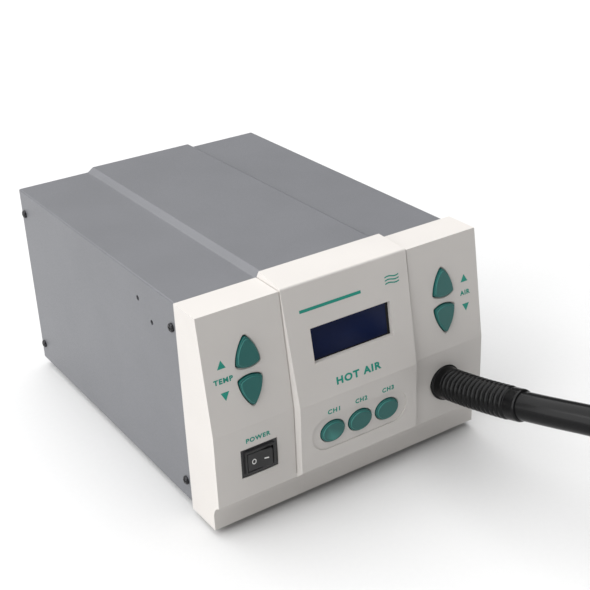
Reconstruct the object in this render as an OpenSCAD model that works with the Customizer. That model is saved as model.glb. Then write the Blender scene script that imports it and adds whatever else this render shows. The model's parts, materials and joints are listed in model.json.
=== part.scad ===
// Hot air rework station: steel case, moulded front bezel, blower inside,
// and a ribbed boot from which the hot air hose leaves the front.
// Millimetres. +Z up, the front faces -Y, X = 0 is the middle of the width.
// The origin is on the bench, under the middle of the case.

/* [Case] */
// Width of the front bezel
bezel_w = 188; // [184:1:196]
// Height of the front bezel, without the feet
bezel_h = 131; // [128:1:136]
// Height of the rubber feet below the case
foot_h = 4; // [3:1:6]
// Depth of the steel cover behind the bezel
cover_d = 221; // [215:1:235]
// Width of the steel cover
cover_w = 183.4; // [182:0.2:184]
// Height of the low shoulders of the cover above the case's underside
cover_h = 128.8; // [126:0.2:129]
// How far the middle of the cover is pressed up
crown_h = 2.8; // [1:0.2:4]
// Thickness of the steel sheet
sheet_t = 1.2; // [1:0.1:1.6]

/* [Front] */
// Depth of the bezel along its top edge
bezel_top_d = 22.5; // [20:0.5:26]
// Depth of the bezel at its crease, where the leaning face turns upright
bezel_crease_d = 31.8; // [30:0.2:34]
// Height of the crease above the case's underside
crease_h = 63; // [58:1:68]
// Wall thickness of the bezel
bezel_wall = 2.5; // [2:0.1:3]
// Half the width of the raised middle panel at its foot
panel_half_w = 42.6; // [41:0.2:44]
// How far the middle panel stands proud at its foot
panel_t = 3; // [2:0.2:3.4]
// Width of the display opening
display_w = 54.6; // [50:0.2:58]
// Height of the display opening
display_h = 20.5; // [18:0.5:22]
// Distance between the middles of two channel buttons
channel_pitch = 19.2; // [18:0.2:20]
// Distance of the setting buttons from the middle of the front
setting_x = 67; // [65:0.5:68]
// Travel of every push button
button_travel = 0.8; // [0.4:0.1:1]

/* [Hose] */
// Outer diameter of the air hose
hose_d = 16.8; // [15:0.2:17]
// Radius of the inner turn of the stored coil
coil_r = 76; // [76:1:84]

/* [Hidden] */
$fn = 48;
eps = 0.01;

// ---- Places in depth and height ----
// Reach of the channel buttons in front of the bezel's rear edge, and of the inlet behind the rear panel
front_reach = 36;
rear_reach = 2;
overall_d = front_reach + cover_d + rear_reach;
bezel_back = front_reach - overall_d / 2;
rear_y = bezel_back + cover_d;
case_z = foot_h;
deck_h = 0.6;

// ---- The leaning front face ----
face_fall = bezel_crease_d - bezel_top_d;
face_rise = bezel_h - crease_h;
lean = atan(face_fall / face_rise);
front_y = bezel_back - bezel_crease_d;
apron_top_h = 18;
cove_r = 10;
cove_h = 8.7;
apron_d = 25.3;
flank_run = 1.6;
panel_foot_h = 20.6;
panel_edge_r = 1.5;
panel_top_out = 0.3;
panel_crease_out = 3.5;
panel_lip = 0.9;
panel_rise = 3;
groove_w = 0.7;
groove_deep = 0.5;

// ---- Buttons ----
setting_mid = 31.1;
setting_gap = 4.5;
setting_tip = 20.2;
setting_half_w = 7.2;
setting_corner_r = 1.5;
button_gap = 0.5;
button_proud = 1.6;
channel_h = 41;
channel_a = 8.1;
channel_b = 6.6;
recess_r = 10.6;
recess_half = 23;
recess_deep = 0.4;
switch_x = -66.3;
switch_mid_h = 40.3;
switch_w = 23.6;
switch_h = 18;
rocker_w = 15.4;
rocker_h = 11;

// ---- Boards behind the front ----
board_t = 1.6;
control_w = 154;
control_len = 59;
control_screw_x = 73;
CONTROL_SCREWS_Y = [4, 57];
channel_screw_x = 33;
board_depth = 8.4;
channel_depth = 10;
channel_board_y = front_y + channel_depth;
display_mid = setting_mid + 1.5;
window_out = -1;
window_t = 1.5;
tact_size = 6;
tact_body = 3.4;
tact_plunger_d = 3.2;

// ---- Air path ----
outlet_x = 65.3;
outlet_h = 41.2;
boot_len = 62;
boot_turn = 4.8;
boot_lift = 10;
boot_flange_r = 11.2;
boot_rib_r = 9.9;
boot_ribs = 14;
boot_rib_pitch = 3.8;
gland_r = 9;
gland_bore = 7.4;
blower_x = 36;
blower_y = 0;
blower_r = 42;
blower_z = case_z + outlet_h - 15;
blower_h = 26;
deck_z = case_z + deck_h + sheet_t;

// ---- Stored coil and handle ----
coil_x = 44;
coil_y = -398;
coil_pitch = 17.2;
outer_turn_r = coil_r + coil_pitch;
handle_r = 16;
tail_len = 32;
handle_len = 86;
tube_len = 34;
nozzle_len = 24;

// Middle line of the hose from the end of the boot down to the inner turn of the coil
HOSE_ROUTE = [[70.4, -186, 56], [75, -206, 59.4], [81.5, -226, 62], [89.5, -245.5, 62.8],
    [97.5, -265, 61.5],
    [104.5, -285, 58], [110, -305.5, 52], [114.2, -326, 44.5], [117, -346, 36.6], [118.4, -366, 29],
    [118.8, -385, 22], [119.7, -404.6, 15.5], [112.9, -430, 10], [97.7, -451.7, 8.4]];
// Middle line of the hose from the outer turn of the coil to the tail of the handle
HOSE_END = [[134, -374, 8.4], [137.2, -398, 8.4], [137.2, -422, 8.4], [136.9, -447, 8.4],
    [131.9, -473.8, 8.8],
    [116.7, -496.5, 10.8], [94, -511.7, 13.8], [67, -517, 15.8], [46, -517, 16]];

// ---- Shared shapes ----

// Points along an arc from angle a to angle b
function arc(x, y, r, a, b, n = 8) = [for (i = [0:n]) [x + r * cos(a + (b - a) * i / n),
    y + r * sin(a + (b - a) * i / n)]];

// Unit vector of v
function unit(v) = v / norm(v);

// Points that round the corner p, between its neighbours on an outline, to radius r
function fillet(before, p, after, r, n = 5) =
    let (a = unit(before - p), b = unit(after - p), half = acos(max(-1, min(1, a * b))) / 2,
         reach = r / tan(half), mid = p + unit(a + b) * r / sin(half),
         s = p + a * reach - mid, e = p + b * reach - mid, turn = atan2(s[0] * e[1] - s[1] * e[0], s * e))
    [for (k = [0:n]) let (t = turn * k / n)
        mid + [s[0] * cos(t) - s[1] * sin(t), s[0] * sin(t) + s[1] * cos(t)]];

// A closed outline with each corner rounded to radius r
function rounded(pts, r) = [
    for (i = [0:len(pts) - 1],
         p = fillet(pts[(i + len(pts) - 1) % len(pts)], pts[i], pts[(i + 1) % len(pts)], r)) p];

// Points from a to b along an arc that bulges out by the given height, without the last one
function bulge(a, b, h, n = 8) =
    let (half = norm(b - a) / 2, r = (half * half + h * h) / (2 * h),
        out = unit([b[1] - a[1], a[0] - b[0]]),
         mid = (a + b) / 2 + out * (h - r), sweep = 2 * asin(half / r))
    [for (k = [0:n - 1]) let (t = sweep * (k / n - 0.5), d = unit(b - a))
        mid + r * (out * cos(t) + d * sin(t))];

// Outline of an oval with half axes a and b
function oval(a, b, n = 40) = [for (i = [0:n - 1]) [a * cos(360 * i / n), b * sin(360 * i / n)]];

// Outline of an upward setting button: a rounded triangle with convex sides
function setting_outline(grow = 0) =
    let (w = setting_half_w + grow, low = setting_gap - grow, top = setting_tip + grow * 1.6,
         pts = concat(bulge([-w, low], [w, low], 2.1), bulge([w, low], [0, top], 1.7),
             bulge([0, top], [-w, low], 1.7)),
         n = len(pts))
    [for (i = [0:n - 1], p = i % (n / 3) > 0 ? [pts[i]]
        : fillet(pts[(i + n - 1) % n], pts[i], pts[(i + 1) % n], setting_corner_r)) p];

module rod_x(r, len) {
    rotate([0, 90, 0]) cylinder(r = r, h = len, center = true);
}

module rod_y(r, len) {
    rotate([-90, 0, 0]) cylinder(r = r, h = len);
}

module tube_z(r_out, r_in, len) {
    difference() {
        cylinder(r = r_out, h = len);
        translate([0, 0, -eps]) cylinder(r = r_in, h = len + 2 * eps);
    }
}

// A profile in Y and Z, drawn across the width of the case
module across(width) {
    rotate([90, 0, 90]) linear_extrude(height = width, center = true) children();
}

// A profile in X and Z, drawn back from the bezel's rear edge
module along(len) {
    rotate([90, 0, 0]) mirror([0, 0, 1]) linear_extrude(height = len) children();
}

// Local frame of the leaning face: X across, Y up the face from the crease, Z outward
module on_face(out = 0) {
    translate([0, front_y, case_z + crease_h]) rotate([90 - lean, 0, 0]) translate([0, 0, out])
        children();
}

// Local frame of the upright lower face: X across, Y up from the case's underside, Z outward
module on_lower(out = 0) {
    translate([0, front_y, case_z]) rotate([90, 0, 0]) translate([0, 0, out]) children();
}

// A pan-head screw with a cross recess, head outward along +Z from z = 0, shank down
module pan_screw(d, len) {
    head_r = d * 0.95;
    head_h = d * 0.6;
    slot = d * 0.22;
    difference() {
        rotate_extrude() polygon(concat([[0, -len], [d / 2 - 0.05, -len], [d / 2 - 0.05, 0],
            [head_r, 0], [head_r, head_h * 0.35]],
            arc(head_r - head_h * 0.65, head_h * 0.35, head_h * 0.65, 0, 90, 4), [[0, head_h]]));
        for (a = [0, 90]) rotate([0, 0, a]) translate([0, 0, head_h])
            cube([head_r * 1.15, slot, head_h], center = true);
    }
}

// ---- Case ----

BEZEL_SIDE = [[0, 0], [-apron_d, 0], [-apron_d, cove_h], [-bezel_crease_d, apron_top_h],
    [-bezel_crease_d, crease_h],
    [-bezel_top_d, bezel_h], [0, bezel_h]];

// Side view of the bezel: leaning face, upright face, cove and apron
module bezel_side() {
    difference() {
        polygon(BEZEL_SIDE);
        translate([-apron_d - cove_r, cove_h]) circle(r = cove_r);
    }
}

// The hollow behind the bezel's walls
module bezel_hollow() {
    w = bezel_wall;
    polygon([[1, w], [-apron_d + w, w], [-apron_d + w, cove_h + 2],
        [-bezel_crease_d + w, apron_top_h + 3.5],
        [-bezel_crease_d + w, crease_h - 0.5], [-bezel_top_d + w - 0.4, bezel_h - w], [1, bezel_h - w]]);
}

// Side view of the raised middle panel: it grows out from its top edge towards the crease
module panel_side() {
    back = [0, bezel_h + panel_rise];
    edge = [-bezel_top_d - panel_top_out, bezel_h + panel_lip];
    crease = [-bezel_crease_d - panel_crease_out, crease_h + panel_crease_out * tan(lean)];
    inside = bezel_wall / 2;
    polygon(concat([[0, bezel_h - inside], back], fillet(back, edge, crease, panel_edge_r),
        [crease, [-bezel_crease_d - panel_t, panel_foot_h], [-bezel_crease_d + 0.4, apron_top_h - 0.6],
         [-bezel_crease_d + inside, crease_h], [-bezel_top_d + inside, bezel_h - inside]]));
}

// Cuts the sloping flank of the raised panel where it meets a flat face of the bezel
module flank_cut(side) {
    slope = atan(flank_run / panel_t);
    size = 40;
    translate([side * panel_half_w, 0, 0]) rotate([0, -side * slope, 0])
        translate([side * size / 2, 0, 0]) cube([size, 200, size], center = true);
}

module raised_panel() {
    intersection() {
        translate([0, bezel_back, case_z]) across(2 * panel_half_w) panel_side();
        difference() {
            translate([0, bezel_back - 20, case_z + bezel_h / 2])
                cube([2 * panel_half_w, 60, bezel_h + 20], center = true);
            for (side = [-1, 1]) {
                on_face() flank_cut(side);
                on_lower() flank_cut(side);
                translate([0, bezel_back, case_z + bezel_h]) flank_cut(side);
            }
        }
    }
}

// The fine groove that runs along both feet of the raised panel and takes in their toes
module panel_grooves() {
    toe = 0.15;
    past = 0.8;
    deep = 2 * groove_deep;
    for (side = [-1, 1]) translate([side * (panel_half_w + groove_w / 2 - toe) - groove_w / 2, 0, 0]) {
        on_face(-groove_deep) translate([0, -past / 2, 0])
            cube([groove_w, face_rise / cos(lean) + past, deep]);
        on_lower(-groove_deep) translate([0, panel_foot_h, 0])
            cube([groove_w, crease_h - panel_foot_h + past / 2, deep]);
        translate([0, bezel_back - bezel_top_d - past, case_z + bezel_h - groove_deep])
            cube([groove_w, bezel_top_d + 2 * past, deep]);
    }
}

// Hole and shallow chamfered seat for one setting button, in the face's frame
module setting_hole(side, up) {
    translate([side * setting_x, setting_mid]) mirror([0, up ? 0 : 1]) {
        translate([0, 0, -6]) linear_extrude(height = 8) polygon(setting_outline(button_gap));
        translate([0, 0, -0.5]) linear_extrude(height = 2) polygon(setting_outline(button_gap + 0.45));
    }
}

screw_boss_x = 82;
screw_boss_low = 12;
screw_boss_high = 118;
SCREW_BOSS = [[screw_boss_low, 24.2], [screw_boss_high, 22.8]];

module front_bezel() {
    color([0.9, 0.9, 0.88]) difference() {
        union() {
            translate([0, bezel_back, case_z]) difference() {
                across(bezel_w) bezel_side();
                across(bezel_w - 2 * bezel_wall) bezel_hollow();
            }
            raised_panel();
            for (x = [-screw_boss_x, screw_boss_x], boss = SCREW_BOSS)
                translate([x, bezel_back - boss[1], case_z + boss[0]]) rod_y(3.5, boss[1] - 1.5);
            on_face(-board_depth) for (x = [-control_screw_x, control_screw_x], y = CONTROL_SCREWS_Y)
                translate([x, y, 0]) cylinder(r = 2.6, h = board_depth - 1.5);
            for (x = [-channel_screw_x, channel_screw_x])
                translate([x, channel_board_y, case_z + channel_h]) rotate([90, 0, 0])
                    cylinder(r = 2.6, h = channel_depth - 1.5);
        }
        for (x = [-screw_boss_x, screw_boss_x], h = [screw_boss_low, screw_boss_high])
            translate([x, bezel_back - 16, case_z + h]) rod_y(1.25, 16);
        on_face(-board_depth - eps) for (x = [-control_screw_x, control_screw_x], y = CONTROL_SCREWS_Y)
            translate([x, y, 0]) cylinder(r = 1.2, h = 6);
        for (x = [-channel_screw_x, channel_screw_x])
            translate([x, channel_board_y - 6, case_z + channel_h]) rod_y(1.2, 6.1);
        panel_grooves();
        on_face() for (side = [-1, 1], up = [true, false]) setting_hole(side, up);
        on_face(-5) translate([-display_w / 2, display_mid - display_h / 2, 0])
            cube([display_w, display_h, 12]);
        on_face(-5) translate([-display_w / 2 - 3, display_mid - display_h / 2 - 3, 0])
            cube([display_w + 6, display_h + 6, 5 + window_out]);
        on_lower(-6) for (i = [-1:1]) translate([i * channel_pitch, channel_h, 0])
            linear_extrude(height = 14)
            polygon(oval(channel_a + button_gap, channel_b + button_gap));
        on_lower(panel_t - recess_deep) linear_extrude(height = 3) {
            translate([-recess_half, channel_h - recess_r]) square([2 * recess_half, 2 * recess_r]);
            for (s = [-1, 1]) translate([s * recess_half, channel_h]) circle(r = recess_r);
        }
        on_lower(-6) translate([switch_x - switch_w / 2, switch_mid_h - switch_h / 2, 0])
            cube([switch_w, switch_h, 12]);
        translate([outlet_x, front_y - 4, case_z + outlet_h]) rod_y(gland_r + 0.2, 12);
    }
}

crown_base = 41.5;
crown_top = 37.4;
bend_r = 1;

// Outline of the cover, its thickness taken in by the given amount
function cover_outline(t) = [[-cover_w / 2 + t, t * 0.4 + 0.6], [-cover_w / 2 + t, cover_h - t],
    [-crown_base + t * 0.3, cover_h - t],
    [-crown_top + t * 0.3, cover_h + crown_h - t], [crown_top - t * 0.3, cover_h + crown_h - t],
    [crown_base - t * 0.3, cover_h - t], [cover_w / 2 - t, cover_h - t],
        [cover_w / 2 - t, t * 0.4 + 0.6]];

vent_w = 2.2;
vent_pitch = 5.2;
vent_tall = 20;
side_vents = 9;
side_vent_h = 40;
rear_vents = 12;
rear_vent_x = 20;
REAR_VENTS_H = [34, 60, 86];
COVER_SCREWS_Y = [bezel_back + 9, rear_y - 5];
COVER_SCREWS_H = [13.7, 112.5];
HOLDER_HOLES = [[bezel_back + 33.6, 105.3], [bezel_back + 48.9, 114.7]];
holder_r = 1.6;

module top_cover() {
    color([0.55, 0.56, 0.6]) difference() {
        translate([0, bezel_back + 0.1, case_z]) along(cover_d - 0.1) difference() {
            polygon(rounded(cover_outline(0), bend_r));
            polygon(rounded(cover_outline(sheet_t), bend_r / 2));
            translate([-cover_w / 2 + sheet_t, -1]) square([cover_w - 2 * sheet_t, 8]);
        }
        for (x = [-1, 1], y = COVER_SCREWS_Y, h = COVER_SCREWS_H)
            translate([x * cover_w / 2, y, case_z + h]) rod_x(1.7, 8);
        for (p = HOLDER_HOLES) translate([-cover_w / 2, p[0], case_z + p[1]]) rod_x(holder_r, 8);
        for (i = [0:side_vents - 1])
            translate([cover_w / 2, rear_y - 20 - i * vent_pitch, case_z + side_vent_h])
                cube([8, vent_w, vent_tall], center = true);
    }
}

inside_half = cover_w / 2 - sheet_t - 0.15;
wall_h = 22;
post_w = 6;
post_h = 122;
gusset_h = 100;
tab_w = 20;
tab_h = 16;
base_vents = 7;

// The same upright plate inside both side walls of the cover
module side_plates(y, len, h, tall) {
    for (side = [-1, 1]) translate([side > 0 ? inside_half - sheet_t : -inside_half, y, case_z + h])
        cube([sheet_t, len, tall]);
}

// Screw tabs bent inward from both side plates
module chassis_tabs(y, heights) {
    for (side = [-1, 1], h = heights)
        translate([side > 0 ? inside_half - tab_w : -inside_half, y, case_z + h - tab_h / 2])
            cube([tab_w, sheet_t, tab_h]);
}

module base_chassis() {
    front = bezel_back + 0.2;
    back = rear_y - sheet_t - 0.05;
    color([0.72, 0.73, 0.75]) difference() {
        union() {
            translate([-inside_half, front, case_z + deck_h])
                cube([2 * inside_half, back - front, sheet_t]);
            side_plates(front, back - front, deck_h, wall_h);
            side_plates(front, post_w, deck_h, post_h);
            side_plates(back - post_w, post_w, deck_h, post_h);
            side_plates(front, wall_h, gusset_h, wall_h);
            side_plates(back - tab_h, tab_h, gusset_h, wall_h);
            chassis_tabs(front, [screw_boss_low, screw_boss_high]);
            chassis_tabs(back - sheet_t, REAR_SCREWS_H);
        }
        for (x = REAR_SCREWS_X, h = REAR_SCREWS_H) translate([x, back - 3, case_z + h]) rod_y(1.55, 6);
        for (x = [-screw_boss_x, screw_boss_x], h = [screw_boss_low, screw_boss_high])
            translate([x, front - 1, case_z + h]) rod_y(1.7, 6);
        for (x = FOOT_X, y = FOOT_Y) translate([x, y, case_z - 1]) cylinder(r = 1.7, h = 6);
        for (x = [-1, 1], y = COVER_SCREWS_Y, h = COVER_SCREWS_H)
            translate([x * cover_w / 2, y, case_z + h]) rod_x(1.45, 8);
        for (i = [0:base_vents - 1]) translate([blower_x, 56 + i * 7, case_z])
            cube([40, vent_w, 6], center = true);
    }
}

foot_r = 8;
FOOT_X = [-68, 68];
FOOT_Y = [bezel_back + 8, rear_y - 28];

module rubber_feet() {
    color([0.08, 0.08, 0.08]) for (x = FOOT_X, y = FOOT_Y) translate([x, y, 0]) difference() {
        rotate_extrude() polygon([[0, 0], [foot_r - 1.2, 0], [foot_r, 1.2], [foot_r, foot_h + deck_h],
            [0, foot_h + deck_h]]);
        translate([0, 0, -eps]) cylinder(r = 3.4, h = 2.4);
        translate([0, 0, -eps]) cylinder(r = 1.6, h = foot_h + 3);
    }
}

module foot_screws() {
    color([0.75, 0.75, 0.77]) for (x = FOOT_X, y = FOOT_Y) translate([x, y, 2.39]) mirror([0, 0, 1])
        pan_screw(3, 6);
}

inlet_x = -52;
inlet_h = 34;
inlet_w = 27.6;
inlet_tall = 31;
inlet_screw_x = 20;

// The rear panel fills the end of the cover, the raised middle too
module rear_panel() {
    gap = 0.8;
    top = cover_h - sheet_t - 0.2;
    color([0.55, 0.56, 0.6]) difference() {
        translate([0, rear_y - sheet_t, case_z]) along(sheet_t) polygon([[-inside_half, deck_h],
            [-inside_half, top], [-crown_base + gap, top], [-crown_top + gap, top + crown_h],
            [crown_top - gap, top + crown_h], [crown_base - gap, top], [inside_half, top],
            [inside_half, deck_h]]);
        translate([inlet_x, rear_y, case_z + inlet_h]) cube([inlet_w, 8, inlet_tall], center = true);
        for (x = [-inlet_screw_x, inlet_screw_x]) translate([inlet_x + x, rear_y - 4, case_z + inlet_h])
            rod_y(1.7, 8);
        for (i = [0:rear_vents - 1], h = REAR_VENTS_H)
            translate([rear_vent_x + i * vent_pitch, rear_y, case_z + h])
            cube([vent_w, 8, vent_tall], center = true);
        for (x = REAR_SCREWS_X, h = REAR_SCREWS_H) translate([x, rear_y - 4, case_z + h]) rod_y(1.6, 8);
        translate([EARTH[0], rear_y - 4, case_z + EARTH[1]]) rod_y(2.1, 8);
    }
}

REAR_SCREWS_X = [-80, 80];
REAR_SCREWS_H = [16, 112];
EARTH = [-14, 22];

module rear_panel_screws() {
    color([0.1, 0.1, 0.1]) for (x = REAR_SCREWS_X, h = REAR_SCREWS_H)
        translate([x, rear_y, case_z + h]) rotate([-90, 0, 0]) pan_screw(3, 7);
}

module cover_screws() {
    color([0.1, 0.1, 0.1]) for (side = [-1, 1], y = COVER_SCREWS_Y, h = COVER_SCREWS_H)
        translate([side * cover_w / 2, y, case_z + h]) rotate([0, side * 90, 0]) pan_screw(2.8, 6);
}

module bezel_screws() {
    color([0.75, 0.75, 0.77]) for (x = [-screw_boss_x, screw_boss_x],
        h = [screw_boss_low, screw_boss_high])
        translate([x, bezel_back + 0.2 + sheet_t, case_z + h]) rotate([-90, 0, 0]) pan_screw(2.4, 12);
}

module holder_nuts() {
    color([0.75, 0.75, 0.77]) for (p = HOLDER_HOLES)
        translate([-cover_w / 2 + sheet_t, p[0], case_z + p[1]]) rotate([0, 90, 0]) tube_z(3, 1.25, 3);
}

// ---- Display and boards ----

module display_window() {
    color([0.06, 0.1, 0.2]) on_face(window_out - window_t)
        translate([-display_w / 2 - 2.8, display_mid - display_h / 2 - 2.8, 0])
            cube([display_w + 5.6, display_h + 5.6, window_t - eps]);
}

module lcd_module() {
    color([0.2, 0.22, 0.25]) on_face(-board_depth) difference() {
        translate([-display_w / 2 - 2, display_mid - display_h / 2 - 2, 0])
            cube([display_w + 4, display_h + 4, board_depth + window_out - window_t - 0.1]);
        translate([-display_w / 2, display_mid - display_h / 2,
            board_depth + window_out - window_t - 0.5])
            cube([display_w, display_h, 2]);
    }
}

module control_board() {
    color([0.1, 0.35, 0.2]) on_face(-board_depth - board_t) difference() {
        translate([-control_w / 2, 0.5, 0]) cube([control_w, control_len, board_t]);
        for (x = [-control_screw_x, control_screw_x], y = CONTROL_SCREWS_Y)
            translate([x, y, -1]) cylinder(r = 1.4, h = 4);
    }
}

module control_board_screws() {
    color([0.75, 0.75, 0.77]) on_face(-board_depth - board_t)
        for (x = [-control_screw_x, control_screw_x], y = CONTROL_SCREWS_Y)
            translate([x, y, 0]) rotate([180, 0, 0]) pan_screw(2.4, 6);
}

module channel_board() {
    color([0.1, 0.35, 0.2]) difference() {
        translate([-38, channel_board_y, case_z + channel_h - 13]) cube([76, board_t, 26]);
        for (x = [-channel_screw_x, channel_screw_x])
            translate([x, channel_board_y - 1, case_z + channel_h]) rod_y(1.4, 4);
    }
}

module channel_board_screws() {
    color([0.75, 0.75, 0.77]) for (x = [-channel_screw_x, channel_screw_x])
        translate([x, channel_board_y + board_t, case_z + channel_h]) rotate([-90, 0, 0])
            pan_screw(2.4, 6);
}

// A small push switch standing on a board, plunger along +Z
module tact_switch() {
    translate([-tact_size / 2, -tact_size / 2, 0]) cube([tact_size, tact_size, tact_body]);
    cylinder(d = tact_plunger_d, h = tact_body + tact_plunger);
}

module setting_switches() {
    color([0.12, 0.12, 0.12]) on_face(-board_depth) for (side = [-1, 1], up = [-1, 1])
        translate([side * setting_x, setting_mid + up * setting_press, 0]) tact_switch();
}

module channel_switches() {
    color([0.12, 0.12, 0.12]) on_lower(-channel_depth) for (i = [-1:1])
        translate([i * channel_pitch, channel_h, 0]) tact_switch();
}

// ---- Push buttons ----

tact_plunger = 0.3;
setting_press = 10;
flange_t = 1;
flange_gap = 0.3;

// One setting button: convex cap, stepped rim and a flange that rests behind the bezel's wall
module setting_button(side, up) {
    color([0.18, 0.43, 0.41]) on_face() translate([side * setting_x, setting_mid, 0])
        mirror([0, up ? 0 : 1, 0]) {
        translate([0, 0, -bezel_wall - flange_gap - flange_t / 2])
            linear_extrude(height = bezel_wall + flange_t + 0.9)
            polygon(setting_outline());
        linear_extrude(height = button_proud) polygon(setting_outline(-0.9));
        translate([0, 0, -bezel_wall - flange_gap - flange_t]) linear_extrude(height = flange_t)
            polygon(setting_outline(1.2));
    }
}

module temp_up_button() setting_button(-1, true);

module temp_down_button() setting_button(-1, false);

module air_up_button() setting_button(1, true);

module air_down_button() setting_button(1, false);

// One oval channel button with a flange behind the wall and a stem over its switch
module channel_button(i) {
    top = front_reach - bezel_crease_d;
    color([0.18, 0.43, 0.41]) on_lower() translate([i * channel_pitch, channel_h, 0]) {
        translate([0, 0, -bezel_wall - flange_gap - flange_t / 2])
            linear_extrude(height = top - 0.7 + bezel_wall + flange_gap + flange_t / 2)
                polygon(oval(channel_a, channel_b));
        linear_extrude(height = top) polygon(oval(channel_a - 1, channel_b - 1));
        translate([0, 0, -bezel_wall - flange_gap - flange_t]) linear_extrude(height = flange_t)
            polygon(oval(channel_a + 1, channel_b + 1));
        translate([0, 0, -channel_depth + tact_body + tact_plunger + button_travel + 0.1])
            cylinder(r = 2, h = 3);
    }
}

module channel_1_button() channel_button(-1);

module channel_2_button() channel_button(0);

module channel_3_button() channel_button(1);

// ---- Power switch ----

rocker_tilt = 7;
rocker_pivot = -3.4;
rocker_half_w = rocker_w / 2 - 0.2;
housing_depth = 22;
frame_out = 1;

module switch_housing() {
    color([0.05, 0.05, 0.05]) on_lower() translate([switch_x, switch_mid_h, 0]) difference() {
        union() {
            translate([-switch_w / 2 + 0.15, -switch_h / 2 + 0.15, -housing_depth])
                cube([switch_w - 0.3, switch_h - 0.3, housing_depth + frame_out - 1.4]);
            translate([-switch_w / 2 + 2.2, -switch_h / 2 + 1.8, -2])
                cube([switch_w - 4.4, switch_h - 3.6, 2 + frame_out]);
        }
        translate([-rocker_w / 2 - 0.7, -rocker_h / 2 - 0.35, rocker_pivot - 9.6])
            cube([rocker_w + 1.4, rocker_h + 0.7, 30]);
        translate([0, -switch_h / 2, rocker_pivot]) rod_y(1.25, switch_h);
    }
}

// The rocker tips about an upright pin, and rests with its left end pressed in
module switch_rocker() {
    color([0.05, 0.05, 0.05]) on_lower() translate([switch_x, switch_mid_h, rocker_pivot])
        rotate([0, -rocker_tilt, 0]) {
        rotate([-90, 0, 0]) linear_extrude(height = rocker_h, center = true) polygon(concat(
            [[rocker_half_w, -1], [rocker_half_w, -5.4], [0, -4.5], [-rocker_half_w, -5.4],
                [-rocker_half_w, -1]],
            arc(0, -1, rocker_half_w - 0.5, 180, 0, 16)));
        translate([0, -rocker_h / 2 - 1.5, 0]) rod_y(1.2, rocker_h + 3);
    }
}

module switch_terminals() {
    color([0.8, 0.75, 0.5]) on_lower(-housing_depth - 8) translate([switch_x, switch_mid_h, 0])
        for (x = [-6, 6], y = [-4, 4]) translate([x - 2.4, y - 0.4, 0]) cube([4.8, 0.8, 8]);
}

// ---- Air outlet, boot and hose ----

module hose_gland() {
    color([0.15, 0.15, 0.15]) translate([outlet_x, 0, case_z + outlet_h]) difference() {
        union() {
            translate([0, front_y - 2, 0]) rod_y(gland_r, 20);
            translate([0, front_y + bezel_wall + 0.1, 0]) rod_y(12.5, 3);
        }
        translate([0, front_y - 3, 0]) rod_y(gland_bore, 24);
    }
}

module gland_nut() {
    color([0.75, 0.75, 0.77]) translate([outlet_x, front_y + bezel_wall + 3.2, case_z + outlet_h])
        difference() {
        rotate([-90, 0, 0]) cylinder(r = 13, h = 4, $fn = 6);
        translate([0, -1, 0]) rod_y(gland_r + 0.05, 6);
    }
}

// Local frame of the boot: +Z runs out along the hose
module on_boot() {
    translate([outlet_x, front_y, case_z + outlet_h]) rotate([0, 0, boot_turn])
        rotate([90 - boot_lift, 0, 0]) children();
}

module hose_boot() {
    rib_r = boot_rib_r;
    web_r = boot_rib_r - 0.8;
    first = 5;
    color([0.06, 0.06, 0.06]) difference() {
        union() {
            translate([outlet_x, front_y, case_z + outlet_h]) rotate([90, 0, 0]) rotate_extrude()
                polygon([[0, 0.01], [boot_flange_r, 0.01], [boot_flange_r, 1.6],
                    [boot_flange_r - 1, 2.8], [0, 2.8]]);
            on_boot() rotate_extrude() polygon(concat([[0, 2.3], [web_r, 2.3]],
                [for (i = [0:boot_ribs - 1], p = [[web_r, 0], [rib_r, 0.6], [rib_r, 2.2], [web_r, 2.8]])
                    [p[0], first + i * boot_rib_pitch + p[1]]],
                [[boot_rib_r - 0.4, boot_len - 5], [boot_rib_r - 0.4, boot_len], [0, boot_len]]));
        }
        translate([outlet_x, front_y + 1, case_z + outlet_h]) rotate([90, 0, 0])
            cylinder(r = gland_r + 0.05, h = 3.4);
        on_boot() cylinder(r = hose_d / 2 + 0.05, h = boot_len + 5);
    }
}

// A tube swept along a list of points, with flat ends
module swept_tube(path, r, sides = 12) {
    last = len(path) - 1;
    rings = [for (i = [0:last])
        let (ahead = unit(path[min(i + 1, last)] - path[max(i - 1, 0)]),
            side = unit(cross(ahead, [0, 0, 1])),
             up = cross(side, ahead))
        for (k = [0:sides - 1]) path[i] + r * (side * cos(360 * k / sides) + up * sin(360 * k / sides))];
    walls = [for (i = [0:last - 1], k = [0:sides - 1]) let (m = (k + 1) % sides)
        [i * sides + k, i * sides + m, (i + 1) * sides + m, (i + 1) * sides + k]];
    polyhedron(points = rings, faces = concat(walls, [[for (k = [sides - 1:-1:0]) k]],
        [[for (k = [0:sides - 1]) last * sides + k]]));
}

module air_hose() {
    color([0.05, 0.05, 0.05]) {
        swept_tube(HOSE_ROUTE, hose_d / 2);
        swept_tube(HOSE_END, hose_d / 2);
    }
}

// The two turns of the coil lie side by side on the bench
module hose_coil() {
    r = hose_d / 2;
    color([0.07, 0.07, 0.07]) translate([coil_x, coil_y, 0]) rotate_extrude($fn = 96)
        polygon(concat(arc(coil_r, r, r, 270, 90), arc(outer_turn_r, r, r, 90, -90)));
}

// ---- Hot air handle ----

handle_z = 16;
tail_x = 60;
handle_y = -517;

// Local frame of the handle: +Z runs from the hose towards the nozzle
module on_handle(at) {
    translate([tail_x - at, handle_y, handle_z]) rotate([0, -90, 0]) children();
}

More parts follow.
